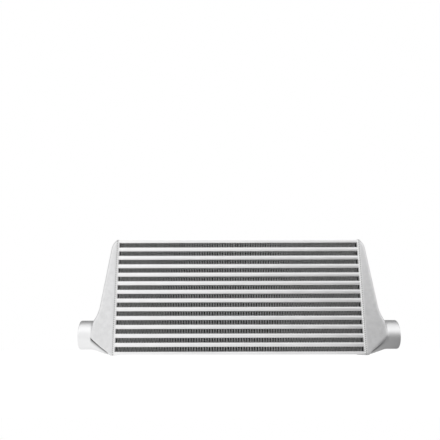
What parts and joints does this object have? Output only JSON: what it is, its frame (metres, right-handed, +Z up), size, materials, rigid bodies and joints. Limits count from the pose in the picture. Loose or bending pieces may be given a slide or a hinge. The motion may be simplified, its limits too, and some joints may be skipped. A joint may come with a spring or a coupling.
{
  "type": "intercooler",
  "caption": "Bar-and-plate charge-air intercooler: a finned aluminium core between two cast end tanks with round hose spigots.",
  "frame": {"origin": "centre of the bounding box at its lowest level, the undersides of the two end tanks", "axes": "+X along the core from one spigot to the other, +Y through the core, +Z up, spigots at the bottom"},
  "size_m": [0.784, 0.08, 0.284],
  "materials": {
    "cast_tank": "sand-cast, blasted satin",
    "core_bars": "brazed, bright satin",
    "core_sheets": "brazed satin",
    "side_plate": "mill finish, satin",
    "fin_sheet": "thin folded sheet, dull",
    "weld": "rippled weld bead"
  },
  "bodies": {
    "root": {"closing_bars_01": "core_bars", "closing_bars_02": "core_bars", "closing_bars_03": "core_bars", "closing_bars_04": "core_bars", "closing_bars_05": "core_bars", "closing_bars_06": "core_bars", "closing_bars_07": "core_bars", "closing_bars_08": "core_bars", "closing_bars_09": "core_bars", "closing_bars_10": "core_bars", "closing_bars_11": "core_bars", "closing_bars_12": "core_bars", "fin_row_01": "fin_sheet", "fin_row_02": "fin_sheet", "fin_row_03": "fin_sheet", "fin_row_04": "fin_sheet", "fin_row_05": "fin_sheet", "fin_row_06": "fin_sheet", "fin_row_07": "fin_sheet", "fin_row_08": "fin_sheet", "fin_row_09": "fin_sheet", "fin_row_10": "fin_sheet", "fin_row_11": "fin_sheet", "fin_row_12": "fin_sheet", "fin_row_13": "fin_sheet", "header_bars_left": "core_bars", "header_bars_right": "core_bars", "parting_sheets_01": "core_sheets", "parting_sheets_02": "core_sheets", "parting_sheets_03": "core_sheets", "parting_sheets_04": "core_sheets", "parting_sheets_05": "core_sheets", "parting_sheets_06": "core_sheets", "parting_sheets_07": "core_sheets", "parting_sheets_08": "core_sheets", "parting_sheets_09": "core_sheets", "parting_sheets_10": "core_sheets", "parting_sheets_11": "core_sheets", "parting_sheets_12": "core_sheets", "side_plate_bottom": "side_plate", "side_plate_top": "side_plate", "tank_left": "cast_tank", "tank_right": "cast_tank", "turbulator_01": "fin_sheet", "turbulator_02": "fin_sheet", "turbulator_03": "fin_sheet", "turbulator_04": "fin_sheet", "turbulator_05": "fin_sheet", "turbulator_06": "fin_sheet", "turbulator_07": "fin_sheet", "turbulator_08": "fin_sheet", "turbulator_09": "fin_sheet", "turbulator_10": "fin_sheet", "turbulator_11": "fin_sheet", "turbulator_12": "fin_sheet", "weld_bead_left": "weld", "weld_bead_right": "weld"}
  },
  "joints": []
}
